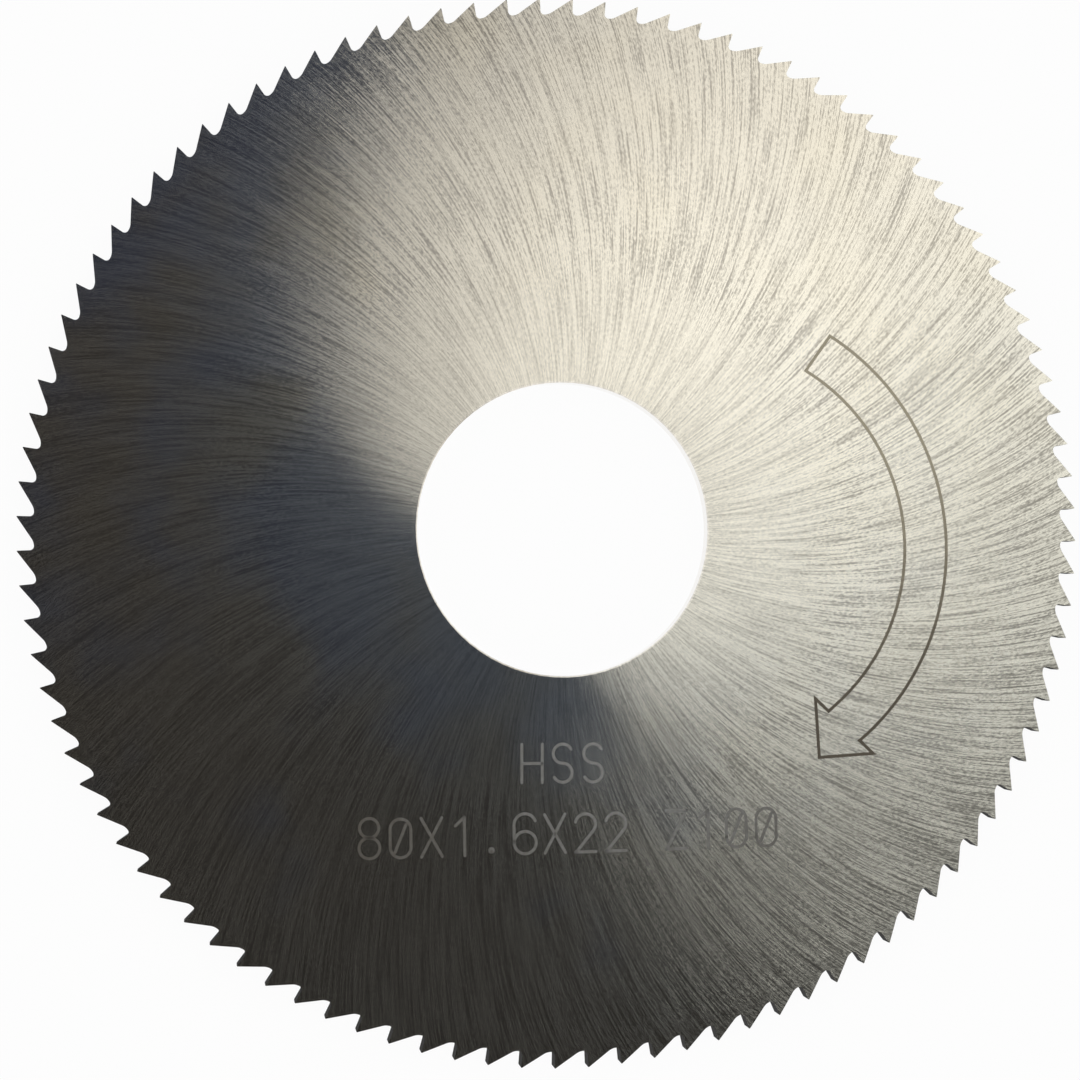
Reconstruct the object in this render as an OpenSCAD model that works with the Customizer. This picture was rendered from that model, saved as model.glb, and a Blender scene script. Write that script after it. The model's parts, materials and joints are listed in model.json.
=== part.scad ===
// Metal slitting saw: a thin disc of high-speed steel with fine teeth all round its rim,
// sides that are dished towards the bore, and a plain round bore for the arbor.
// It lies flat. The bore's axis is Z, the lower side is at Z = 0, one tooth tip is on +X,
// and seen from above the teeth cut clockwise. Sizes are in millimetres, angles in degrees.

/* [Disc] */
// Outside diameter, over the tooth tips
outside_d = 80; // [60:1:125]
// Thickness at the rim, which is the width of the slot that the saw cuts
thickness = 1.6; // [0.8:0.1:4]
// Width of the band at the rim that keeps the full thickness
rim_band = 2; // [1.8:0.1:6]
// Slope of the dished sides, which thin the disc from the rim band to the bore
dish_angle = 0.15; // [0.05:0.05:0.5]

/* [Bore] */
// Diameter of the bore that slides on the arbor
bore_d = 22; // [13:1:32]
// Chamfer that breaks the edge at each end of the bore
bore_chamfer = 0.1; // [0.05:0.05:0.3]

/* [Teeth] */
// Number of teeth round the rim
tooth_count = 100; // [48:4:128]
// Height of a tooth, from the floor of the gullet to the tip
tooth_height = 1.22; // [0.8:0.02:1.6]
// Rake of the cutting face, from the radius: more undercuts the tip
rake_angle = 0; // [-5:1:10]
// Width of the land at the tip, along the rim
tip_land = 0.06; // [0.04:0.02:0.3]
// Radius of the gullet at the foot of the cutting face
root_radius = 0.3; // [0.15:0.05:0.5]
// Radius of the curve from the floor of the gullet up into the tooth's back
heel_radius = 1; // [0.6:0.1:1.6]

/* [Hidden] */

// The disc gets four segments to a tooth, so that a corner falls on every tip
$fn = 4 * tooth_count;
// Segments of a whole circle in the small arcs of a gullet
arc_segments = 48;
// How far a cut runs clear past the surface that it cuts
overrun = 0.5;
// How far each stretch of the gullet's outline starts inside the arc beside it, so that the two cross
lap = 0.001;

tip_r = outside_d / 2;
floor_r = tip_r - tooth_height;
band_r = tip_r - rim_band;
bore_r = bore_d / 2;
pitch_angle = 360 / tooth_count;
land_angle = tip_land / tip_r * 180 / PI;

// Point at radius r and angle a round the disc
function polar(r, a) = r * [cos(a), sin(a)];

// How far a dished side lies below the rim band at radius r
function dish_depth(r) = max(0, band_r - r) * tan(dish_angle);

// Gullet ahead of the tooth whose tip is on +X.
// Its outline runs down the cutting face, round the root arc to the floor, on along the heel arc,
// and up the straight back of the next tooth to the edge of that tooth's land.
tip = polar(tip_r, 0);
face_in = [-cos(rake_angle), sin(rake_angle)];
face_out = [-sin(rake_angle), -cos(rake_angle)];
// Length of the cutting face, from the tip to where the root arc touches it
face_length = tip_r * cos(rake_angle)
    - sqrt(pow(floor_r + root_radius, 2) - pow(root_radius - tip_r * sin(rake_angle), 2));
face_foot = tip + face_length * face_in;
root_centre = face_foot + root_radius * face_out;
// Both arcs meet at the lowest point of the floor, so their centres lie on one radius of the disc
floor_angle = atan2(root_centre[1], root_centre[0]);
heel_centre = polar(floor_r + heel_radius + lap, floor_angle);
// The back leaves the heel arc at a tangent and ends at the next tooth's land
back_top = polar(tip_r, land_angle - pitch_angle);
heel_to_top = back_top - heel_centre;
back_foot_angle = atan2(heel_to_top[1], heel_to_top[0]) - acos(heel_radius / norm(heel_to_top));
back_foot = heel_centre + polar(heel_radius - lap, back_foot_angle);

module gullet() {
    polygon([
        tip - overrun * face_in,
        face_foot + lap * face_out,
        root_centre,
        heel_centre,
        back_foot,
        back_top,
        polar(tip_r + overrun, land_angle - pitch_angle)
    ]);
    translate(root_centre) circle(root_radius, $fn = arc_segments);
    // Only the half of the heel circle that lies past the lowest point of the floor
    translate(heel_centre) rotate(floor_angle) difference() {
        circle(heel_radius, $fn = arc_segments);
        translate([-2 * heel_radius, 0]) square(4 * heel_radius);
    }
}

module toothed_outline() {
    difference() {
        circle(tip_r);
        for (i = [0 : tooth_count - 1])
            rotate(i * pitch_angle) gullet();
    }
}

// Half section through the disc, from the bore to past the tips
module section() {
    chamfer_r = bore_r + bore_chamfer;
    bore_end = dish_depth(chamfer_r) + bore_chamfer;
    polygon([
        [bore_r, bore_end],
        [chamfer_r, dish_depth(chamfer_r)],
        [band_r, 0],
        [tip_r + overrun, 0],
        [tip_r + overrun, thickness],
        [band_r, thickness],
        [chamfer_r, thickness - dish_depth(chamfer_r)],
        [bore_r, thickness - bore_end]
    ]);
}

module saw_blade() {
    color([0.72, 0.70, 0.65])
        intersection() {
            rotate_extrude() section();
            translate([0, 0, -overrun])
                linear_extrude(thickness + 2 * overrun) toothed_outline();
        }
}

saw_blade();
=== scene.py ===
"""Dresses the slitting saw: ground steel, etched marks, and the soft studio that it lies in.

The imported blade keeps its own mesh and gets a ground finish, whose grinding lines are arcs from the bore
to the rim. The marks on its upper side are thin pieces of their own, seated on the dished side.
Drawings of marks are in millimetres, and every finished piece is in metres, in the blade's frame.
"""

import json
import logging
import math
from collections.abc import Callable, Mapping, Sequence
from dataclasses import dataclass, field
from enum import Enum

import bpy
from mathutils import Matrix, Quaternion, Vector


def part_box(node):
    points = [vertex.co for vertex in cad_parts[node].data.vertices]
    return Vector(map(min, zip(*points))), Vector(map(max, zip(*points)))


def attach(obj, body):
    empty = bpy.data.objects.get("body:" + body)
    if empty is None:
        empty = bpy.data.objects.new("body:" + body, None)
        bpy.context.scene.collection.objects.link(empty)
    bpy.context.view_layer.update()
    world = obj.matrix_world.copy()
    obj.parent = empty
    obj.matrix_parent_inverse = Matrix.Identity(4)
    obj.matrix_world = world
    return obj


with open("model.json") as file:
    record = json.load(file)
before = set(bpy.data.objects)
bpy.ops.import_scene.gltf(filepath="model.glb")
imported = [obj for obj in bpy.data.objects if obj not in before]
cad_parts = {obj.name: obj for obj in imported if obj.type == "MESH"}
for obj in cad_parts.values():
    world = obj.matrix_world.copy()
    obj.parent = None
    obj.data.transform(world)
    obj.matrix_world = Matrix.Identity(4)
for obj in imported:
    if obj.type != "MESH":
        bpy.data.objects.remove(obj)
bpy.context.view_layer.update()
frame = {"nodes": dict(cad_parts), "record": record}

MM = 0.001
BODY = "root"
CLOSE = 1e-4
UP = (0.0, 0.0, 1.0)
Colour = tuple[float, float, float]

# Middle of noise, and of anything else that goes from 0 to 1.
MIDDLE = 0.5

# Upward part of a face's normal: flat from the first on, a wall up to the second, and below the third
# the face is on the lower side.
FLAT_FACING = 0.8
WALL_FACING = 0.4
LOWER_FACING = -0.5

log = logging.getLogger("slitting_saw")


class Move(Enum):
    """Ways in which a pen goes on from where it is."""

    STRAIGHT = "straight"
    BEND = "bend"


class Signal:
    """One output of a shader node, with arithmetic that adds Math nodes."""

    def __init__(self, bench: "NodeBench", socket: bpy.types.NodeSocket) -> None:
        """Keeps the bench that the node is on, and the node's output."""
        self.bench = bench
        self.socket = socket

    def output(self, name: str | int) -> "Signal":
        """Another output of the same node."""
        return Signal(self.bench, self.socket.node.outputs[name])

    def __add__(self, other: "Value") -> "Signal":
        """Sum of two values."""
        return self.bench.math("ADD", self, other)

    def __radd__(self, other: "Value") -> "Signal":
        """Sum with a number on the left."""
        return self.bench.math("ADD", other, self)

    def __sub__(self, other: "Value") -> "Signal":
        """Difference of two values."""
        return self.bench.math("SUBTRACT", self, other)

    def __rsub__(self, other: "Value") -> "Signal":
        """Difference from a number on the left."""
        return self.bench.math("SUBTRACT", other, self)

    def __mul__(self, other: "Value") -> "Signal":
        """Product of two values."""
        return self.bench.math("MULTIPLY", self, other)

    def __rmul__(self, other: "Value") -> "Signal":
        """Product with a number on the left."""
        return self.bench.math("MULTIPLY", other, self)

    def __truediv__(self, other: "Value") -> "Signal":
        """Quotient of two values."""
        return self.bench.math("DIVIDE", self, other)

    def __rtruediv__(self, other: "Value") -> "Signal":
        """Quotient of a number on the left."""
        return self.bench.math("DIVIDE", other, self)

    def root(self) -> "Signal":
        """Square root of the value."""
        return self.bench.math("SQRT", self)

    def size(self) -> "Signal":
        """The value without its sign."""
        return self.bench.math("ABSOLUTE", self)


Value = Signal | float | Sequence[float]


class NodeBench:
    """Lays out the nodes of one material or of the world."""

    def __init__(self, tree: bpy.types.NodeTree) -> None:
        """Starts from an empty tree."""
        self.tree = tree
        self.tree.nodes.clear()

    def node(
        self,
        kind: str,
        settings: Mapping[str, object] | None = None,
        inputs: Mapping[str | int, Value] | None = None,
        output: str | int = 0,
    ) -> Signal:
        """Adds a node.

        Args:
            kind: The node's type, such as ShaderNodeTexNoise.
            settings: The node's own settings, which are set first.
            inputs: Values or links of its sockets, by name or number.
            output: The output to hand back.

        Returns:
            That output.
        """
        made = self.tree.nodes.new(kind)
        for name, value in (settings or {}).items():
            setattr(made, name, value)
        for name, value in (inputs or {}).items():
            socket = made.inputs[name]
            if isinstance(value, Signal):
                self.tree.links.new(value.socket, socket)
            else:
                socket.default_value = value
        return Signal(self, made.outputs[output]) if made.outputs else Signal(self, made.inputs[0])

    def math(self, operation: str, *values: Value) -> Signal:
        """Math node of that operation on the given values."""
        return self.node("ShaderNodeMath", {"operation": operation}, dict(enumerate(values)))

    def vector(self, operation: str, *values: Value) -> Signal:
        """Vector Math node of that operation on the given vectors."""
        return self.node("ShaderNodeVectorMath", {"operation": operation}, dict(enumerate(values)))

    def scaled(self, vector: Value, factor: Value) -> Signal:
        """A vector times a value."""
        return self.node("ShaderNodeVectorMath", {"operation": "SCALE"}, {"Vector": vector, "Scale": factor})

    def combine(self, x: Value, y: Value, z: Value) -> Signal:
        """A vector of three values."""
        return self.node("ShaderNodeCombineXYZ", None, {"X": x, "Y": y, "Z": z})

    def blend(self, factor: Value, first: Value, second: Value) -> Signal:
        """Colour that goes from the first to the second as the factor goes from 0 to 1."""
        first, second = (side if isinstance(side, Signal) else (*side, 1.0) for side in (first, second))
        return self.node("ShaderNodeMix", {"data_type": "RGBA"}, {0: factor, 6: first, 7: second}, 2)

    def ease(self, value: Value, low: float, high: float) -> Signal:
        """Smooth step from 0 at low to 1 at high, which may be the lower of the two."""
        inputs = {"Value": value, "From Min": low, "From Max": high}
        return self.node("ShaderNodeMapRange", {"interpolation_type": "SMOOTHSTEP"}, inputs)

    def noise(self, place: Value, scale: float, detail: float = 2.0) -> Signal:
        """Noise from 0 to 1 at a place."""
        inputs = {"Vector": place, "Scale": scale, "Detail": detail}
        return self.node("ShaderNodeTexNoise", {"noise_dimensions": "3D"}, inputs)


def new_material(name: str) -> tuple[bpy.types.Material, NodeBench]:
    """Makes an empty node material.

    Args:
        name: The material's name.

    Returns:
        The material, and the bench of its nodes.
    """
    material = bpy.data.materials.new(name)
    material.use_nodes = True
    return material, NodeBench(material.node_tree)


def wear(piece: bpy.types.Object, material: bpy.types.Material) -> None:
    """Gives a piece one material in place of any that it has."""
    piece.data.materials.clear()
    piece.data.materials.append(material)


@dataclass(frozen=True)
class GrindArcs:
    """Arcs that a cup wheel leaves on the sides: circles of one radius that leave the bore along its radii.

    Attributes:
        start_radius: Radius at which a line runs straight outwards, in millimetres.
        wheel_radius: Radius of the lines themselves, in millimetres.
        inner_radius: Radius near the bore at which the lines' look is set, in millimetres.
        middle_radius: Radius between the two at which it is set, in millimetres.
        outer_radius: Radius near the rim at which it is set, in millimetres.
    """

    start_radius: float
    wheel_radius: float = 44.0
    inner_radius: float = 13.0
    middle_radius: float = 22.0
    outer_radius: float = 37.0

    @property
    def centre_radius(self) -> float:
        """How far from the bore's axis the centres of the arcs lie."""
        return math.hypot(self.start_radius, self.wheel_radius)

    def slant(self, radius: float) -> float:
        """Angle between a line and the radius, in radians, where the line crosses that radius."""
        return math.asin((radius**2 - self.start_radius**2) / (2 * radius * self.wheel_radius))


@dataclass(frozen=True)
class GrindField:
    """Values that follow the grinding lines over both sides of the blade.

    Attributes:
        bench: Bench of the material's nodes.
        arcs: The arcs that the lines follow.
        x: Place across the blade, in millimetres.
        y: The other place across the blade, in millimetres.
        radius: Distance from the bore's axis, in millimetres.
        centre_x: Cosine of the angle at which the line's own centre lies.
        centre_y: Sine of that angle.
        away_x: Part along X of the unit vector across the line.
        away_y: Part along Y of that vector.
        side: 1 on the upper side and on the walls, and -1 on the lower side.
        wall: 1 on the walls of bore and gullets, and 0 on the sides.
    """

    bench: NodeBench
    arcs: GrindArcs
    x: Signal
    y: Signal
    radius: Signal
    centre_x: Signal
    centre_y: Signal
    away_x: Signal
    away_y: Signal
    side: Signal
    wall: Signal

    @classmethod
    def lay(cls, bench: NodeBench, arcs: GrindArcs) -> "GrindField":
        """Works the field out from Object coordinates.

        The lower side gets the lines that the upper side would have if the blade were turned over.

        Args:
            bench: Bench of the material's nodes.
            arcs: The arcs that the lines follow.

        Returns:
            The field.
        """
        place = bench.node("ShaderNodeTexCoord", None, None, "Object")
        facing = bench.node("ShaderNodeSeparateXYZ", None, {0: place.output("Normal")}, "Z")
        side = bench.math("GREATER_THAN", facing, LOWER_FACING) * 2 - 1
        x = bench.node("ShaderNodeSeparateXYZ", None, {0: bench.scaled(place, 1 / MM)}, "X")
        y = x.output("Y") * side
        squared = x * x + y * y
        radius = squared.root()
        toward = (squared + arcs.start_radius**2) / (radius * (2 * arcs.centre_radius))
        aside = (1 - toward * toward).root()
        centre_x = (x * toward - y * aside) / radius
        centre_y = (y * toward + x * aside) / radius
        away_x = (centre_x * arcs.centre_radius - x) / arcs.wheel_radius
        away_y = (centre_y * arcs.centre_radius - y) / arcs.wheel_radius
        wall = bench.ease(facing.size(), FLAT_FACING, WALL_FACING)
        return cls(bench, arcs, x, y, radius, centre_x, centre_y, away_x, away_y, side, wall)

    def slope(self, across: Signal, along: Signal) -> Signal:
        """Vector in the plane of the side with the given parts across and along the lines."""
        x = self.away_x * across - self.away_y * along
        y = self.away_y * across + self.away_x * along
        return self.bench.combine(x, y * self.side, 0.0)

    def outward(self, start: float, end: float) -> Signal:
        """Goes from 0 at one radius to 1 at another, in millimetres."""
        span = {"Value": self.radius, "From Min": start, "From Max": end}
        return self.bench.node("ShaderNodeMapRange", None, span)

    def streaks(self, width: float, length: float) -> Signal:
        """Noise drawn out along the lines, about as fine near the bore as near the rim.

        Args:
            width: Width of a streak, in millimetres.
            length: Length over which it fades, in millimetres.

        Returns:
            Noise from 0 to 1.
        """
        stops = (self.arcs.inner_radius, self.arcs.middle_radius, self.arcs.outer_radius)
        value = self.drawn_out(stops[0] / width, length)
        for start, end in zip(stops, stops[1:]):
            value = value + (self.drawn_out(end / width, length) - value) * self.outward(start, end)
        return value

    def drawn_out(self, count: float, length: float) -> Signal:
        """Noise drawn out along the lines, about six times as many streaks round the blade as the count."""
        along = self.radius / length + self.side * count
        place = self.bench.combine(self.centre_x * count, self.centre_y * count, along)
        return self.bench.noise(place, 1.0, 0.0)


@dataclass(frozen=True)
class Sheen:
    """How a ground side spreads highlights.

    Attributes:
        roughness: Roughness of the side.
        anisotropy: How far highlights are drawn out across the grinding lines.
    """

    roughness: float
    anisotropy: float


@dataclass(frozen=True)
class Scratches:
    """One kind of grinding line.

    Attributes:
        width: Width of a line, in millimetres.
        length: Length over which it fades, in millimetres.
        tone: Its share in how light and dark the steel is.
        across: Its share in how the steel leans across the lines.
        along: Its share in how the steel leans along them.
    """

    width: float
    length: float
    tone: float
    across: float = 0.0
    along: float = 0.0


@dataclass(frozen=True)
class OilFilm:
    """Thin film of oil on the sides, in brownish and bluish blotches.

    Attributes:
        brown: Colour of the film where it is brownish.
        blue: Colour of the film where it is bluish.
        roughness: Roughness of the film.
        share: Share of the film on the sides, in the middle.
        drift: How much more of it there is for each millimetre along Y.
        grain: How strongly the film follows the grinding lines.
        blotch_scale: How many blotches there are to a metre.
        blue_drift: How much bluer the film gets for each millimetre along Y.
        bore_blue: How much bluer it is near the bore.
        bore_near: Radius up to which that holds in full, in millimetres.
        bore_far: Radius by which it has faded, in millimetres.
        brown_below: Value of a blotch up to which the film is brownish.
        blue_above: Value of a blotch from which it is bluish.
    """

    brown: Colour = (0.54, 0.475, 0.39)
    blue: Colour = (0.34, 0.46, 0.80)
    roughness: float = 0.8
    share: float = 0.045
    drift: float = 0.0006
    grain: float = 0.6
    blotch_scale: float = 120.0
    blue_drift: float = 0.006
    bore_blue: float = 0.3
    bore_near: float = 12.0
    bore_far: float = 28.0
    brown_below: float = 0.40
    blue_above: float = 0.75

    def colour(self, grind: GrindField) -> Signal:
        """Colour of the film over the sides.

        Args:
            grind: The grinding lines' field.

        Returns:
            The colour.
        """
        bench = grind.bench
        place = bench.node("ShaderNodeTexCoord", None, None, "Object")
        bore = bench.ease(grind.radius, self.bore_far, self.bore_near)
        blotch = bench.noise(place, self.blotch_scale) + self.blue_drift * grind.y + self.bore_blue * bore
        return bench.blend(bench.ease(blotch, self.brown_below, self.blue_above), self.brown, self.blue)

    def cover(self, grind: GrindField, lines: Signal) -> Signal:
        """Share of the film over the sides, with none on the walls.

        Args:
            grind: The grinding lines' field.
            lines: How light and dark the lines are, around 0.

        Returns:
            The share.
        """
        share = (self.share + self.drift * grind.y) * (1 + self.grain * lines)
        return (1 - grind.wall) * share


@dataclass(frozen=True)
class GroundSteel:
    """High-speed steel, ground on both sides by a cup wheel, with a thin film of oil, and gullet walls made
    nearly black as painted shade.

    Attributes:
        scratches: The kinds of grinding line, from grit marks to broad bands.
        ridge_colour: Colour of the brightest grinding lines.
        groove_colour: Colour of the darkest ones.
        ridge_tone: Tone from which a line is brightest.
        groove_tone: Tone up to which it is darkest.
        warm_shaded_tint: Tint of the steel where it is warmest, which also darkens it there as painted
            shade.
        cool_lit_tint: Tint of the steel where it is coolest, which also brightens it there as painted light.
        tint_and_shade_slant: How far the tint and its painted shade drift towards -X for each millimetre
            towards +Y.
        warm_shaded_at: How far along that drift the steel is warmest and most darkened, in millimetres.
        cool_lit_at: How far along it the steel is coolest and most brightened, in millimetres.
        rim_shade: How much darker the steel is near the rim than near the bore.
        wall_colour: Colour of the bore's wall.
        gullet_shade_colour: Painted shade: the near-black colour put on the gullet walls between the teeth.
        gullet_near: Radius within which a wall is the bore's, in millimetres.
        gullet_far: Radius past which a wall is a gullet's, in millimetres.
        gullet_shading: Share of that painted shade on the gullet walls.
        tilt: How steep the flanks of the lines are near the rim.
        stray: How far the lines' own directions stray near the rim.
        bore_share: Share of both that is left near the bore.
        bore_calm: Share of the lines' contrast that is left at the bore.
        calm_end: Radius past which the lines have their whole contrast, in millimetres.
        inner_sheen: Sheen near the bore.
        outer_sheen: Sheen near the rim.
        film: The film of oil.
    """

    scratches: tuple[Scratches, ...] = (
        Scratches(width=0.12, length=0.25, tone=0.30, across=0.35, along=0.4),
        Scratches(width=0.105, length=3.6, tone=0.40, across=0.4, along=0.6),
        Scratches(width=0.16, length=8.0, tone=0.22, across=0.25),
        Scratches(width=0.5, length=12.0, tone=0.08),
    )
    ridge_colour: Colour = (0.87, 0.84, 0.75)
    groove_colour: Colour = (0.41, 0.39, 0.345)
    ridge_tone: float = 0.08
    groove_tone: float = -0.16
    warm_shaded_tint: Colour = (0.974, 0.927, 0.876)
    cool_lit_tint: Colour = (1.01, 1.025, 1.035)
    tint_and_shade_slant: float = 0.5
    warm_shaded_at: float = 36.0
    cool_lit_at: float = -40.0
    rim_shade: float = 0.16
    wall_colour: Colour = (0.90, 0.885, 0.86)
    gullet_shade_colour: Colour = (0.02, 0.02, 0.02)
    gullet_near: float = 20.0
    gullet_far: float = 30.0
    gullet_shading: float = 0.95
    tilt: float = 0.112
    stray: float = 0.07
    bore_share: float = 0.08
    bore_calm: float = 0.38
    calm_end: float = 24.0
    inner_sheen: Sheen = Sheen(roughness=0.164, anisotropy=0.995)
    outer_sheen: Sheen = Sheen(roughness=0.196, anisotropy=0.97)
    film: OilFilm = OilFilm()

    def material(self, arcs: GrindArcs) -> bpy.types.Material:
        """Makes the material.

        Args:
            arcs: The arcs that the grinding lines follow.

        Returns:
            The material.
        """
        material, bench = new_material("ground_steel")
        grind = GrindField.lay(bench, arcs)
        noises = [grind.streaks(kind.width, kind.length) for kind in self.scratches]
        lines = self.mixed(noises, [kind.tone for kind in self.scratches])
        across = self.mixed(noises, [kind.across for kind in self.scratches])
        along = self.mixed(noises, [kind.along for kind in self.scratches])
        outward = grind.outward(arcs.inner_radius, arcs.outer_radius)

        settled = bench.ease(grind.radius, arcs.start_radius, self.calm_end)
        tone = lines * (self.bore_calm + (1 - self.bore_calm) * settled)
        bright = bench.ease(tone, self.groove_tone, self.ridge_tone)
        steel = bench.blend(bright, self.groove_colour, self.ridge_colour)
        # Painted shade and light: the warm end of this tint also darkens the steel, and the cool end
        # brightens it.
        warmth_and_painted_shade = bench.ease(grind.y - self.tint_and_shade_slant * grind.x, self.cool_lit_at, self.warm_shaded_at)
        steel = bench.vector("MULTIPLY", steel, bench.blend(warmth_and_painted_shade, self.cool_lit_tint, self.warm_shaded_tint))
        steel = bench.scaled(steel, 1 + self.rim_shade * (MIDDLE - outward))
        steel = bench.blend(grind.wall, steel, self.wall_colour)
        share = self.bore_share + (1 - self.bore_share) * outward * outward
        lean = grind.slope(self.tilt * share * across, self.stray * share * along)
        metal = self.metal(grind, steel, lean)

        # Painted shade: the gullet walls get near-black in the film's layer, standing in for their shadow.
        gullet = grind.wall * bench.ease(grind.radius, self.gullet_near, self.gullet_far)
        colour = bench.blend(gullet, self.film.colour(grind), self.gullet_shade_colour)
        look = {"Base Color": colour, "Roughness": self.film.roughness, "Specular IOR Level": 0.0}
        film = bench.node("ShaderNodeBsdfPrincipled", None, look)
        film_and_gullet_shade = self.film.cover(grind, lines) + gullet * self.gullet_shading
        surface = bench.node("ShaderNodeMixShader", None, {0: film_and_gullet_shade, 1: metal, 2: film})
        bench.node("ShaderNodeOutputMaterial", None, {"Surface": surface})
        return material

    @staticmethod
    def mixed(noises: Sequence[Signal], shares: Sequence[float]) -> Signal:
        """Sum of noises by their shares, around 0.

        Args:
            noises: The noises, each from 0 to 1.
            shares: Share of each noise. Together they make 1.

        Returns:
            The sum.
        """
        total: Value = -MIDDLE
        for noise, share in zip(noises, shares):
            if share:
                total = total + share * noise
        return total

    def metal(self, grind: GrindField, colour: Signal, lean: Signal) -> Signal:
        """Makes the bare metal, whose highlights turn with the grinding lines from the bore to the rim.

        Args:
            grind: The grinding lines.
            colour: Colour of the metal.
            lean: Vector along the side by which the metal leans.

        Returns:
            The shader.
        """
        bench, arcs = grind.bench, grind.arcs
        transform = {"vector_type": "VECTOR", "convert_from": "OBJECT", "convert_to": "WORLD"}
        aside = bench.node("ShaderNodeVectorTransform", transform, {0: lean})
        normal = bench.node("ShaderNodeNewGeometry", None, None, "Normal")
        leaning = bench.vector("NORMALIZE", bench.vector("ADD", normal, aside))
        ends = ((arcs.inner_radius, self.inner_sheen), (arcs.outer_radius, self.outer_sheen))
        inner, outer = (
            bench.node(
                "ShaderNodeBsdfPrincipled",
                None,
                {
                    "Base Color": colour,
                    "Metallic": 1.0,
                    "Roughness": sheen.roughness,
                    "Anisotropic": sheen.anisotropy,
                    "Anisotropic Rotation": arcs.slant(radius) / math.tau,
                    "Normal": leaning,
                },
            )
            for radius, sheen in ends
        )
        outward = grind.outward(arcs.inner_radius, arcs.outer_radius)
        return bench.node("ShaderNodeMixShader", None, {0: outward, 1: inner, 2: outer})


@dataclass(frozen=True)
class EtchedInk:
    """Dull oxide that a marking laser leaves on the steel, with painted light: lighter round one place and
    darker away from it, as the lamp falls on the mark.

    Attributes:
        name: Name of the material.
        painted_light_at: Middle of the place where the oxide is painted lightest, in millimetres.
        near: Distance from there at which it starts to get darker, in millimetres. Below 0, it is darker
            even in the middle.
        far: Distance from there at which it is darkest, in millimetres.
        painted_light_colour: Painted light: colour of the oxide where it is painted lightest.
        oxide_colour: Colour of the oxide away from the painted light.
        roughness: Roughness of the burnt skin.
        gloss: Specular level of the burnt skin.
        mottle: How far the painted light's reach varies from spot to spot, as a share of the whole way.
        mottle_scale: How many spots there are to a metre.
    """

    name: str
    painted_light_at: tuple[float, float]
    near: float
    far: float
    painted_light_colour: Colour
    oxide_colour: Colour
    roughness: float = 0.75
    gloss: float = 0.2
    mottle: float = 0.5
    mottle_scale: float = 4000.0

    def material(self) -> bpy.types.Material:
        """Makes the material."""
        material, bench = new_material(self.name)
        place = bench.node("ShaderNodeTexCoord", None, None, "Object")
        x = bench.node("ShaderNodeSeparateXYZ", None, {0: bench.scaled(place, 1 / MM)}, "X")
        run, rise = x - self.painted_light_at[0], x.output("Y") - self.painted_light_at[1]
        spots = bench.noise(place, self.mottle_scale) - MIDDLE
        spots = (self.far - self.near) * self.mottle * spots
        # Painted light: the oxide goes from a lighter colour near one place to its own dark colour away from
        # it.
        light_falloff = bench.ease((run * run + rise * rise).root() + spots, self.near, self.far)
        shader = bench.node(
            "ShaderNodeBsdfPrincipled",
            None,
            {
                "Base Color": bench.blend(light_falloff, self.painted_light_colour, self.oxide_colour),
                "Roughness": self.roughness,
                "Specular IOR Level": self.gloss,
            },
        )
        bench.node("ShaderNodeOutputMaterial", None, {"Surface": shader})
        return material


# Both inks carry painted light, lighter round one place of each mark.
ARROW_INK = EtchedInk(
    name="arrow_oxide_painted_light",
    painted_light_at=(21.0, 14.0),
    near=8.0,
    far=28.0,
    painted_light_colour=(0.50, 0.45, 0.335),
    oxide_colour=(0.13, 0.112, 0.085),
)
LETTER_INK = EtchedInk(
    name="letter_oxide_painted_light",
    painted_light_at=(5.0, -14.0),
    near=-6.0,
    far=26.0,
    painted_light_colour=(0.336, 0.339, 0.330),
    oxide_colour=(0.125, 0.114, 0.096),
)


@dataclass(frozen=True)
class WhiteFloor:
    """Plain white floor that shows as white and keeps the blade's shadow.

    Attributes:
        colour: Colour of the floor itself.
        glow: Share of plain white where the floor is seen or mirrored.
    """

    colour: Colour = (0.92, 0.92, 0.92)
    glow: float = 0.96

    def material(self) -> bpy.types.Material:
        """Makes the material."""
        material, bench = new_material("white_floor")
        ray = bench.node("ShaderNodeLightPath", None, None, "Is Camera Ray")
        mirrored = bench.math("MAXIMUM", ray.output("Is Glossy Ray"), ray.output("Is Transmission Ray"))
        seen = bench.math("MAXIMUM", ray, mirrored)
        paper = bench.node("ShaderNodeBsdfDiffuse", None, {"Color": (*self.colour, 1.0)})
        white = bench.node("ShaderNodeEmission", None, {"Color": (1.0, 1.0, 1.0, 1.0), "Strength": 1.0})
        floor = bench.node("ShaderNodeMixShader", None, {0: seen * self.glow, 1: paper, 2: white})
        bench.node("ShaderNodeOutputMaterial", None, {"Surface": floor})
        return material


@dataclass
class SawBlade:
    """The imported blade, which keeps its mesh and gets its finish.

    Attributes:
        node: Name of the blade's node.
        finish: The steel's finish.
    """

    node: str = "saw_blade"
    finish: GroundSteel = field(default_factory=GroundSteel)

    @property
    def piece(self) -> bpy.types.Object:
        """The blade's object."""
        return frame["nodes"][self.node]

    @property
    def bore_radius(self) -> float:
        """Radius of the bore, in millimetres."""
        return frame["record"]["mounts"][0]["dims"]["r_mm"]

    @property
    def rim_radius(self) -> float:
        """Radius over the tooth tips, in millimetres."""
        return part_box(self.node)[1].x / MM

    @property
    def top(self) -> float:
        """Height of the rim's upper side, in metres."""
        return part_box(self.node)[1].z

    def dress(self) -> bpy.types.Object:
        """Puts the ground finish on the blade, and hands the blade back."""
        wear(self.piece, self.finish.material(GrindArcs(self.bore_radius)))
        return self.piece


def deselect() -> None:
    """Deselects every object."""
    bpy.ops.object.select_all(action="DESELECT")


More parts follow.
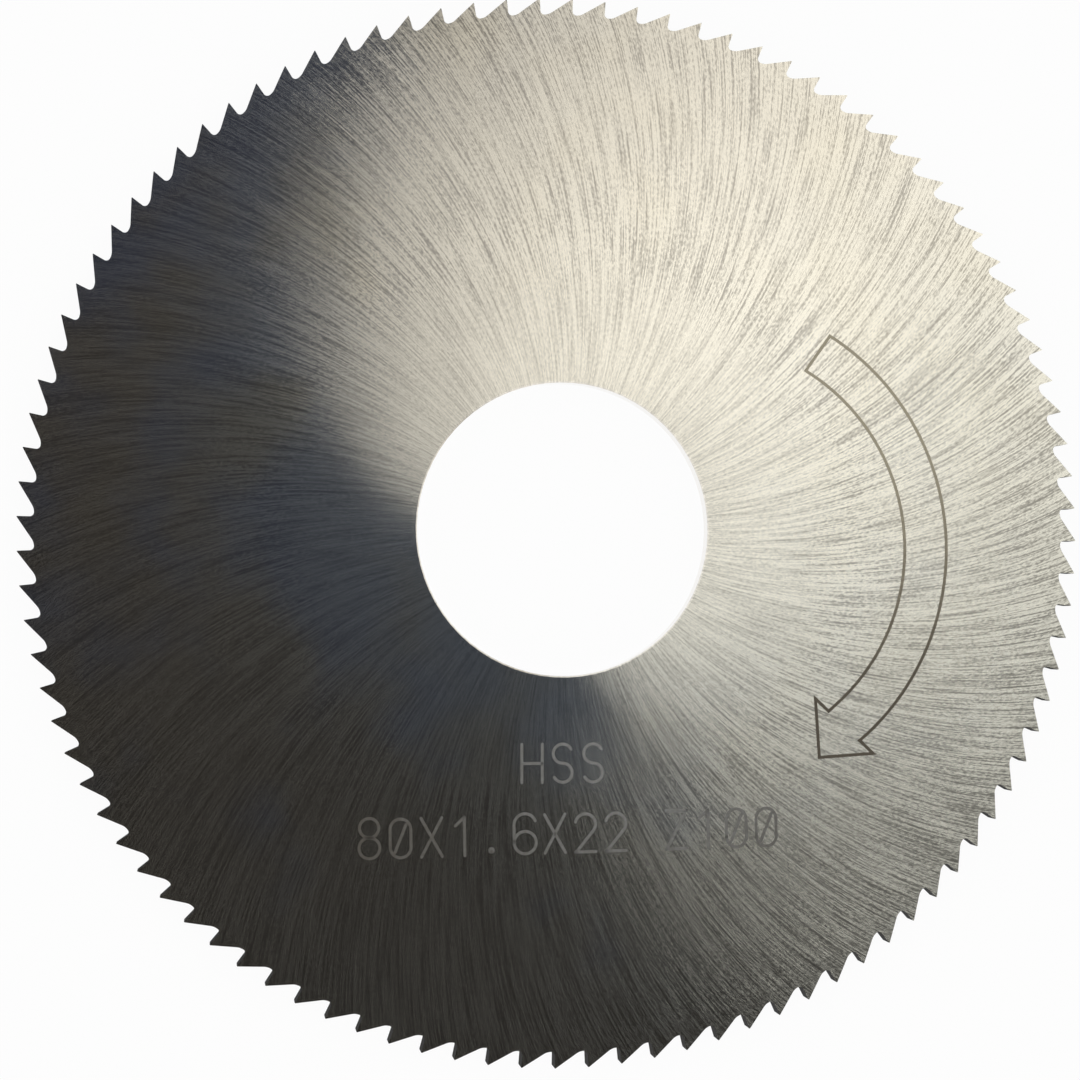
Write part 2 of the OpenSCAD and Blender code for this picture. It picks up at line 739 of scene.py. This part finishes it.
def pick(piece: bpy.types.Object, test: Callable[[Vector], bool]) -> list[Vector]:
    """Selects the points of the piece in edit mode that pass a test.

    Args:
        piece: The piece, which is in edit mode.
        test: Says of a point's place whether it is taken.

    Returns:
        The places of the points that are selected.
    """
    bpy.ops.mesh.select_mode(type="VERT")
    bpy.ops.mesh.select_all(action="DESELECT")
    bpy.ops.object.mode_set(mode="OBJECT")
    taken = [point for point in piece.data.vertices if test(point.co)]
    for point in taken:
        point.select = True
    places = [point.co.copy() for point in taken]
    bpy.ops.object.mode_set(mode="EDIT")
    bpy.ops.mesh.select_mode(type="VERT")
    return places


def picked(piece: bpy.types.Object) -> list[Vector]:
    """Places of the points that are selected in edit mode."""
    bpy.ops.object.mode_set(mode="OBJECT")
    places = [point.co.copy() for point in piece.data.vertices if point.select]
    bpy.ops.object.mode_set(mode="EDIT")
    return places


def pull(step: Vector) -> None:
    """Extrudes what is selected in edit mode by a step."""
    bpy.ops.mesh.extrude_region_move(TRANSFORM_OT_translate={"value": step})


def sweep(steps: int, turn: float, centre: Vector) -> None:
    """Spins what is selected in edit mode about an upright axis.

    Args:
        steps: Facets of the arc.
        turn: Angle in radians, positive to the left, which is the other way round for the operator.
        centre: Where the axis stands.
    """
    bpy.ops.mesh.spin(steps=steps, angle=-turn, center=centre, axis=UP)


def heading_vector(angle: float) -> Vector:
    """Unit vector in the drawing at an angle in radians."""
    return Vector((math.cos(angle), math.sin(angle), 0.0))


@dataclass
class Pen:
    """Draws flat ribbons with round ends, as a single-stroke engraving tool does.

    Attributes:
        width: Width of the line, in millimetres.
        arc_step: Turn of one facet in a bend, in degrees.
        fewest_facets: Fewest facets of a bend.
        cap_segments: Facets in each quarter of a round end.
        cap_round: Radius of a round end's corners, as a share of the width.
        piece: The line that is being drawn.
        at: Where the pen is.
        heading: Where it heads, in radians from +X.
    """

    width: float = 0.22
    arc_step: float = 12.0
    fewest_facets: int = 2
    cap_segments: int = 3
    cap_round: float = 0.48
    piece: bpy.types.Object | None = None
    at: Vector = field(default_factory=Vector)
    heading: float = 0.0

    def put_down(self, at: Vector, heading: float) -> None:
        """Starts a line.

        Args:
            at: Where it starts.
            heading: Where it heads, in radians from +X.
        """
        deselect()
        self.at, self.heading = at.copy(), heading
        ahead, half = heading_vector(heading), self.width / 2
        start = at - ahead * half
        bpy.ops.mesh.primitive_plane_add(size=self.width, location=start, rotation=(0, 0, heading))
        bpy.ops.object.transform_apply()
        self.piece = bpy.context.object
        bpy.ops.object.mode_set(mode="EDIT")
        pick(self.piece, lambda place: (place - at).dot(ahead) < -half)
        bpy.ops.transform.translate(value=ahead * half)
        self.round_end()
        pick(self.piece, lambda place: (place - at).dot(ahead) > -CLOSE)

    def round_end(self) -> None:
        """Rounds the two corners that are selected."""
        bpy.ops.mesh.bevel(
            offset=self.cap_round * self.width,
            offset_type="OFFSET",
            segments=self.cap_segments,
            affect="VERTICES",
        )

    def draw(self, move: Move, amount: float, radius: float = 0.0) -> None:
        """Goes on from where the pen is.

        Args:
            move: Straight on or round a bend.
            amount: Length of a straight, or turn of a bend in degrees, positive to the left.
            radius: Radius of a bend.
        """
        ahead = heading_vector(self.heading)
        if move is Move.STRAIGHT:
            pull(ahead * amount)
            self.at = self.at + ahead * amount
            return
        turn = math.radians(amount)
        aside = heading_vector(self.heading + math.copysign(math.pi / 2, turn)) * radius
        centre = self.at + aside
        steps = max(self.fewest_facets, round(abs(amount) / self.arc_step))
        sweep(steps, turn, centre)
        self.heading += turn
        self.at = centre - heading_vector(self.heading + math.copysign(math.pi / 2, turn)) * radius

    def lift(self) -> bpy.types.Object:
        """Ends the line with a round end, and hands its object back."""
        pull(heading_vector(self.heading) * self.width / 2)
        self.round_end()
        bpy.ops.object.mode_set(mode="OBJECT")
        return self.piece


@dataclass(frozen=True)
class Stroke:
    """One line of a letter, in shares of the letter's height.

    Attributes:
        start: Where it starts.
        heading: Where it heads, in degrees from +X.
        moves: How it goes on: a move, its amount and its radius.
    """

    start: tuple[float, float]
    heading: float
    moves: tuple[tuple[Move, float, float], ...]


def straight(length: float) -> tuple[Move, float, float]:
    """A straight of that length."""
    return (Move.STRAIGHT, length, 0.0)


def bend(turn: float, radius: float) -> tuple[Move, float, float]:
    """A bend by that turn in degrees, positive to the left, round that radius."""
    return (Move.BEND, turn, radius)


def line(start: tuple[float, float], end: tuple[float, float]) -> Stroke:
    """One straight stroke between two points."""
    run, rise = end[0] - start[0], end[1] - start[1]
    return Stroke(start, math.degrees(math.atan2(rise, run)), (straight(math.hypot(run, rise)),))


def on_circle(centre: tuple[float, float], radius: float, angle: float) -> tuple[float, float]:
    """Point of a circle at an angle in degrees from +X."""
    turn = math.radians(angle)
    return (centre[0] + radius * math.cos(turn), centre[1] + radius * math.sin(turn))


# Letters are drawn in shares of their height, from their lower left corner.
LETTER_WIDTH = 0.54
ROUND = LETTER_WIDTH / 2
CROSSBAR = 0.5
S_ROUND = 0.25
S_OPEN = 28.0
ZERO_SIDE = 1 - 2 * ROUND
ZERO_SLASH = ((0.12, 0.14), (0.42, 0.86))
ONE_FLAG = (0.08, 0.78)
ONE_STEM = 0.32
TWO_START = (0.01, 0.79)
TWO_HEADING = 75.0
TWO_TURN = -205.0
TWO_SLOPE = 0.72
SIX_ROUND = 0.29
SIX_TOP = 0.75
SIX_OPEN = 20.0
EIGHT_TOP = 0.25
DOT_AT = (0.21, 0.07)
DOT_ROUND = 0.045

GLYPHS: dict[str, tuple[Stroke, ...]] = {
    "H": (
        line((0, 0), (0, 1)),
        line((LETTER_WIDTH, 1), (LETTER_WIDTH, 0)),
        line((0, CROSSBAR), (LETTER_WIDTH, CROSSBAR)),
    ),
    "S": (
        Stroke(
            on_circle((ROUND, 1 - S_ROUND), S_ROUND, S_OPEN),
            90 + S_OPEN,
            (bend(270 - S_OPEN, S_ROUND), bend(S_OPEN - 270, S_ROUND)),
        ),
    ),
    "X": (line((0, 0), (LETTER_WIDTH, 1)), line((0, 1), (LETTER_WIDTH, 0))),
    "Z": (
        line((0, 1), (LETTER_WIDTH, 1)),
        line((LETTER_WIDTH, 1), (0, 0)),
        line((0, 0), (LETTER_WIDTH, 0)),
    ),
    "0": (
        Stroke((0, ROUND), 90, 2 * (straight(ZERO_SIDE), bend(-180, ROUND))),
        line(*ZERO_SLASH),
    ),
    "1": (line(ONE_FLAG, (ONE_STEM, 1)), line((ONE_STEM, 1), (ONE_STEM, 0))),
    "2": (
        Stroke(TWO_START, TWO_HEADING, (bend(TWO_TURN, ROUND), straight(TWO_SLOPE))),
        line((0, 0), (LETTER_WIDTH, 0)),
    ),
    "6": (
        Stroke(
            on_circle((SIX_ROUND, SIX_TOP), SIX_ROUND, SIX_OPEN),
            90 + SIX_OPEN,
            (bend(180 - SIX_OPEN, SIX_ROUND), straight(SIX_TOP - SIX_ROUND), bend(360, SIX_ROUND)),
        ),
    ),
    "8": (Stroke((ROUND, 2 * ROUND), 0, (bend(360, EIGHT_TOP), bend(-360, ROUND))),),
    ".": (Stroke(DOT_AT, 0, (bend(360, DOT_ROUND),)),),
}


@dataclass
class EtchedPiece:
    """What all marks share: they are drawn flat, put in place and seated on the blade's upper side.

    Attributes:
        name: Name of the piece.
        blade: The blade that carries it.
        at: Where the drawing's own origin goes, in millimetres.
        turn: How far the drawing is turned, in degrees.
        depth: Thickness of the oxide, half of which stands proud, in millimetres.
    """

    name: str
    blade: SawBlade
    at: tuple[float, float]
    turn: float
    depth: float = 0.03

    def draw(self) -> bpy.types.Object:
        """Draws the mark flat, in millimetres, and hands its object back."""
        raise NotImplementedError

    def build(self, material: bpy.types.Material) -> bpy.types.Object:
        """Draws the mark, seats it and dresses it.

        Args:
            material: Finish of the mark.

        Returns:
            The finished piece.
        """
        piece = self.draw()
        piece.name = self.name
        piece.data.name = self.name
        piece.scale = (MM, MM, MM)
        piece.rotation_euler = (0.0, 0.0, math.radians(self.turn))
        piece.location = (self.at[0] * MM, self.at[1] * MM, 2 * self.blade.top)
        deselect()
        piece.select_set(True)
        bpy.context.view_layer.objects.active = piece
        bpy.ops.object.transform_apply()
        self.seat(piece)
        wear(piece, material)
        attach(piece, BODY)
        return piece

    def seat(self, piece: bpy.types.Object) -> None:
        """Lays the flat drawing down on the dished side and gives it its thickness."""
        bpy.ops.object.modifier_add(type="SHRINKWRAP")
        wrap = piece.modifiers[-1]
        wrap.target = self.blade.piece
        wrap.wrap_method = "PROJECT"
        wrap.use_project_z = True
        wrap.use_positive_direction = False
        wrap.use_negative_direction = True
        bpy.ops.object.modifier_apply(modifier=wrap.name)
        bpy.ops.object.modifier_add(type="SOLIDIFY")
        solid = piece.modifiers[-1]
        solid.thickness = self.depth * MM
        solid.offset = 0.0
        bpy.ops.object.modifier_apply(modifier=solid.name)
        bpy.ops.object.mode_set(mode="EDIT")
        bpy.ops.mesh.select_all(action="SELECT")
        bpy.ops.mesh.normals_make_consistent(inside=False)
        bpy.ops.object.mode_set(mode="OBJECT")


@dataclass
class Lettering(EtchedPiece):
    """A line of plain engraving letters, centred on its own origin.

    Attributes:
        text: The letters.
        height: Height of a letter between its lines' middles, in millimetres.
        pitch: Distance from letter to letter, in millimetres.
        pen: The pen that draws it.
    """

    text: str = ""
    height: float = 2.84
    pitch: float = 2.30
    pen: Pen = field(default_factory=Pen)

    def draw(self) -> bpy.types.Object:
        """Draws every letter's strokes and joins them."""
        ink_width = (len(self.text) - 1) * self.pitch + LETTER_WIDTH * self.height
        corner = Vector((-ink_width / 2, -self.height / 2, 0.0))
        lines = []
        for place, letter in enumerate(self.text):
            for stroke in GLYPHS.get(letter, ()):
                lines.append(self.trace(stroke, corner + Vector((place * self.pitch, 0.0, 0.0))))
        deselect()
        for piece in lines:
            piece.select_set(True)
        bpy.context.view_layer.objects.active = lines[0]
        bpy.ops.object.join()
        return bpy.context.object

    def trace(self, stroke: Stroke, corner: Vector) -> bpy.types.Object:
        """Draws one stroke.

        Args:
            stroke: The stroke.
            corner: Lower left corner of its letter.

        Returns:
            The ribbon.
        """
        start = corner + Vector((*stroke.start, 0.0)) * self.height
        self.pen.put_down(start, math.radians(stroke.heading))
        for move, amount, radius in stroke.moves:
            length = amount * self.height if move is Move.STRAIGHT else amount
            self.pen.draw(move, length, radius * self.height)
        return self.pen.lift()


@dataclass
class RotationArrow(EtchedPiece):
    """Outline of the arrow that shows which way the saw turns.

    Its drawing has the middle of the shaft's arcs at the origin and its tail on +X, and it runs clockwise.

    Attributes:
        line: Width of the outline, in millimetres.
        inner_radius: Radius of the shaft's inner line, in millimetres.
        outer_radius: Radius of the shaft's outer line, in millimetres.
        sweep: How far the shaft runs round, in degrees.
        tail_turn: How far the tail's edge is turned from the radius, in degrees.
        neck_turn: How far the head is turned from the radius, in degrees.
        head_half: Half the head's width, which is also its length, as the head's point is square.
        tip_aside: How far the point lies outwards from the head's middle, in millimetres.
        steps: Facets along the shaft.
    """

    line: float = 0.235
    inner_radius: float = 15.64
    outer_radius: float = 18.93
    sweep: float = 110.5
    tail_turn: float = -4.8
    neck_turn: float = 8.1
    head_half: float = 3.06
    tip_aside: float = 0.18
    steps: int = 44

    def draw(self) -> bpy.types.Object:
        """Sweeps the shaft, adds the head, and keeps only the outline."""
        shaft = self.outer_radius - self.inner_radius + self.line
        middle = (self.outer_radius + self.inner_radius) / 2
        deselect()
        bpy.ops.mesh.primitive_plane_add(size=shaft, location=(middle, -shaft / 2, 0.0))
        bpy.ops.object.transform_apply()
        piece = bpy.context.object
        bpy.ops.object.mode_set(mode="EDIT")
        pick(piece, lambda place: place.y < -CLOSE)
        bpy.ops.mesh.delete(type="VERT")
        tail = pick(piece, lambda place: True)
        sweep(self.steps, -math.radians(self.sweep), Vector())
        self.add_head(piece)
        self.turn_edge(piece, tail, self.tail_turn)
        bpy.ops.mesh.select_all(action="SELECT")
        bpy.ops.mesh.normals_make_consistent(inside=False)
        bpy.ops.mesh.inset(thickness=self.line, depth=0.0, use_boundary=True, use_even_offset=True)
        bpy.ops.mesh.delete(type="FACE")
        bpy.ops.object.mode_set(mode="OBJECT")
        return piece

    def turn_edge(
        self, piece: bpy.types.Object, ends: Sequence[Vector], angle: float
    ) -> tuple[Vector, Vector]:
        """Turns one edge across the shaft about its own middle.

        Args:
            piece: The arrow, in edit mode.
            ends: Where the edge's two ends are.
            angle: How far it is turned, in degrees.

        Returns:
            Where the inner and the outer end are then.
        """
        inner, outer = sorted(ends, key=lambda place: place.length)
        middle = (inner + outer) / 2
        turn = Quaternion(UP, math.radians(angle))
        turned = []
        for end in (inner, outer):
            pick(piece, lambda place: (place - end).length < CLOSE)
            turned.append(middle + turn @ (end - middle))
            bpy.ops.transform.translate(value=turned[-1] - end)
        return turned[0], turned[1]

    def add_head(self, piece: bpy.types.Object) -> None:
        """Adds the head to the shaft's end, which is selected in edit mode."""
        inner, outer = self.turn_edge(piece, picked(piece), self.neck_turn)
        middle = (inner + outer) / 2
        outward = (outer - inner).normalized()
        onward = Vector((outward.y, -outward.x, 0.0))
        reach = self.head_half + self.line / 2 * (1 + math.sqrt(2))
        tip = middle + onward * reach + outward * self.tip_aside
        corners = [middle - outward * reach, tip, middle + outward * reach]
        last = inner
        pick(piece, lambda place: (place - inner).length < CLOSE)
        for corner in corners:
            pull(corner - last)
            last = corner
        rim = [inner, outer, *corners]
        pick(piece, lambda place: any((place - point).length < CLOSE for point in rim))
        bpy.ops.mesh.edge_face_add()


@dataclass(frozen=True)
class Softbox:
    """Long oval softbox that hangs over the blade, on one side of the camera.

    Its places are slopes: how far it lies from the zenith, as a share of its height.

    Attributes:
        name: Name of the lamp.
        near: Slope at its near end.
        far: Slope at its far end.
        width: Width as a slope.
        radiance: Brightness of its face, 1 being white.
        colour: Colour of its light.
        aside: Slope by which it lies to the left of its azimuth.
        azimuth: Where it hangs, in degrees from +X.
        height: How high it hangs, in metres.
    """

    name: str
    near: float
    far: float
    width: float
    radiance: float
    colour: Colour
    aside: float = 0.0
    azimuth: float = 35.5
    height: float = 4.0

    def hang(self) -> None:
        """Adds the lamp."""
        deselect()
        azimuth = math.radians(self.azimuth)
        middle = heading_vector(azimuth) * (self.far + self.near) / 2
        middle += heading_vector(azimuth + math.pi / 2) * self.aside
        place = (middle + Vector(UP)) * self.height
        bpy.ops.object.light_add(type="AREA", location=place, rotation=(0.0, 0.0, azimuth))
        lamp = bpy.context.object
        lamp.name = self.name
        lamp.data.shape = "ELLIPSE"
        lamp.data.size = (self.far - self.near) * self.height
        lamp.data.size_y = self.width * self.height
        lamp.data.energy = self.radiance * math.pi * (math.pi * lamp.data.size * lamp.data.size_y / 4)
        lamp.data.color = self.colour

    def reach(self, bench: NodeBench, way: Signal) -> Signal:
        """How far a direction lies from the softbox's middle, 1 being its edge.

        Args:
            bench: Bench of the world's nodes.
            way: The direction.

        Returns:
            The reach.
        """
        x = bench.node("ShaderNodeSeparateXYZ", None, {0: way}, "X")
        y, height = x.output("Y"), x.output("Z")
        ahead = heading_vector(math.radians(self.azimuth))
        along = (x * ahead.x + y * ahead.y) / height - (self.far + self.near) / 2
        aside = (y * ahead.x - x * ahead.y) / height - self.aside
        along = along / ((self.far - self.near) / 2)
        aside = aside / (self.width / 2)
        return (along * along + aside * aside).root()


@dataclass
class Studio:
    """Camera, white floor and soft light.

    Attributes:
        camera_at: Where the camera stands, in millimetres.
        camera_turn: How the camera is turned, in degrees.
        lens: Focal length, in millimetres.
        sensor: Width of the picture in the camera, in millimetres.
        nearest: Nearest distance that the camera shows, in metres.
        floor_radius: Radius of the floor, in metres.
        floor_sides: Sides of the floor's outline.
        floor_gap: How far the floor lies below the blade, in metres.
        floor_finish: Finish of the floor.
        softbox: The softbox's face.
        tube: The brighter strip where its tube is.
        ceiling_colour: Light from the dim ceiling.
        halo_colour: Light from the ceiling just beside the softbox.
        halo_reach: How far the halo goes, the softbox's edge being 1.
        wall_colour: Light from the pale walls.
        ceiling_height: Height from which a direction meets the ceiling, the zenith being 1.
        wall_height: Height up to which it meets the walls.
    """

    camera_at: tuple[float, float, float] = (-25.82, -7.50, 167.48)
    camera_turn: tuple[float, float, float] = (2.121, -8.280, 1.001)
    lens: float = 74.94
    sensor: float = 36.0
    nearest: float = 0.005
    floor_radius: float = 12.0
    floor_sides: int = 96
    floor_gap: float = 0.00002
    floor_finish: WhiteFloor = field(default_factory=WhiteFloor)
    softbox: Softbox = Softbox(
        name="softbox",
        near=0.151,
        far=1.202,
        width=0.523,
        radiance=1.423,
        colour=(1.0, 0.99, 0.935),
    )
    tube: Softbox = Softbox(
        name="softbox_tube",
        near=0.170,
        far=1.236,
        width=0.232,
        radiance=0.276,
        colour=(0.98, 1.0, 0.985),
        aside=-0.065,
        height=3.8,
    )
    ceiling_colour: Colour = (0.0078, 0.0074, 0.0070)
    halo_colour: Colour = (0.063, 0.078, 0.096)
    halo_reach: float = 1.4
    wall_colour: Colour = (0.98, 0.98, 0.98)
    ceiling_height: float = 0.80
    wall_height: float = 0.60

    def build(self) -> None:
        """Sets up camera, floor, softbox and room."""
        self.add_camera()
        self.lay_floor()
        self.softbox.hang()
        self.tube.hang()
        self.paint_room()
        bpy.context.scene.view_settings.view_transform = "Standard"

    def add_camera(self) -> None:
        """Puts the camera where the photograph was taken from."""
        deselect()
        place = [length * MM for length in self.camera_at]
        turn = [math.radians(angle) for angle in self.camera_turn]
        bpy.ops.object.camera_add(location=place, rotation=turn)
        camera = bpy.context.object
        camera.name = "camera"
        camera.data.lens = self.lens
        camera.data.sensor_width = self.sensor
        camera.data.clip_start = self.nearest
        bpy.context.scene.camera = camera

    def lay_floor(self) -> None:
        """Lays a round white floor under the blade."""
        deselect()
        bpy.ops.mesh.primitive_circle_add(
            vertices=self.floor_sides,
            radius=self.floor_radius,
            fill_type="NGON",
            location=(0.0, 0.0, -self.floor_gap),
        )
        bpy.ops.object.transform_apply()
        floor = bpy.context.object
        floor.name = "floor"
        wear(floor, self.floor_finish.material())

    def paint_room(self) -> None:
        """Paints the world as a room: pale walls, and a dim ceiling."""
        world = bpy.data.worlds.new("room")
        bpy.context.scene.world = world
        world.use_nodes = True
        bench = NodeBench(world.node_tree)
        way = bench.node("ShaderNodeTexCoord", None, None, "Generated")
        height = bench.node("ShaderNodeSeparateXYZ", None, {0: way}, "Z")
        halo = bench.ease(self.softbox.reach(bench, way), self.halo_reach, 1.0)
        ceiling = bench.blend(halo, self.ceiling_colour, self.halo_colour)
        walls = bench.ease(height, self.ceiling_height, self.wall_height)
        colour = bench.blend(walls, ceiling, self.wall_colour)
        light = bench.node("ShaderNodeBackground", None, {"Color": colour, "Strength": 1.0})
        bench.node("ShaderNodeOutputWorld", None, {"Surface": light})


def main() -> None:
    """Builds the studio, dresses the blade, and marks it."""
    logging.basicConfig(level=logging.INFO, format="%(name)s: %(message)s")
    Studio().build()
    blade = SawBlade()
    blade.dress()
    log.info("%s: radius %.1f mm, bore radius %.1f mm", blade.node, blade.rim_radius, blade.bore_radius)
    arrow_ink = ARROW_INK.material()
    letter_ink = LETTER_INK.material()
    marks = (
        (RotationArrow("rotation_arrow", blade, at=(10.75, -1.13), turn=60.5), arrow_ink),
        (Lettering("grade_mark", blade, at=(0.21, -17.46), turn=1.0, text="HSS"), letter_ink),
        (Lettering("size_mark", blade, at=(0.87, -22.64), turn=2.0, text="80X1.6X22 Z100"), letter_ink),
    )
    for mark, ink in marks:
        piece = mark.build(ink)
        log.info("%s: %d faces", piece.name, len(piece.data.polygons))


if __name__ == "__main__":
    main()
